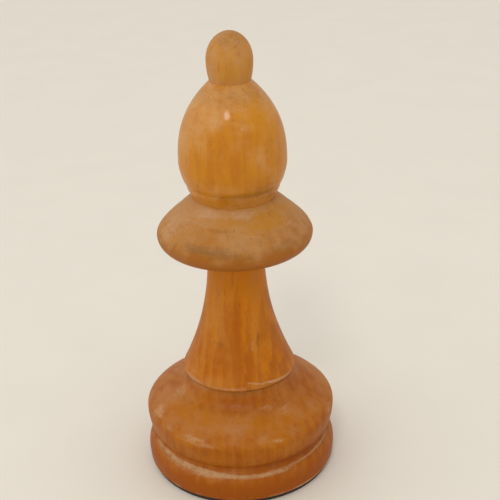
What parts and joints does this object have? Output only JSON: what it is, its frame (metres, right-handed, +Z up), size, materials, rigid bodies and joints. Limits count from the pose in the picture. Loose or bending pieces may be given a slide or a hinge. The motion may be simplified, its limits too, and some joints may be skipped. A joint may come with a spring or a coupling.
{
  "type": "chess bishop",
  "caption": "Turned wooden chess bishop: weighted domed base with a felt pad, flared stem, lens-shaped collar, smooth egg-shaped head and a small egg finial.",
  "frame": {"origin": "centre of the felt pad's underside, on the turning axis", "axes": "+Z up along the turning axis; X and Y lie in the table plane and are alike, with -Y towards the picture's camera"},
  "size_m": [0.03, 0.03, 0.0689],
  "materials": {
    "base_wood": "orange-stained hardwood, worn satin varnish",
    "stem_wood": "orange-stained hardwood, satin varnish",
    "collar_wood": "paler tan hardwood, handled and dull",
    "head_wood": "honey hardwood, satin varnish",
    "finial_wood": "brown hardwood, rubbed dull",
    "weight_iron": "as cast",
    "plug_wood": "bare wood",
    "felt_green": "dense wool felt"
  },
  "bodies": {
    "root": {"base": "base_wood", "stem": "stem_wood", "collar": "collar_wood", "head": "head_wood", "finial": "finial_wood", "iron_weight": "weight_iron", "weight_plug": "plug_wood", "felt_pad": "felt_green"}
  },
  "joints": []
}
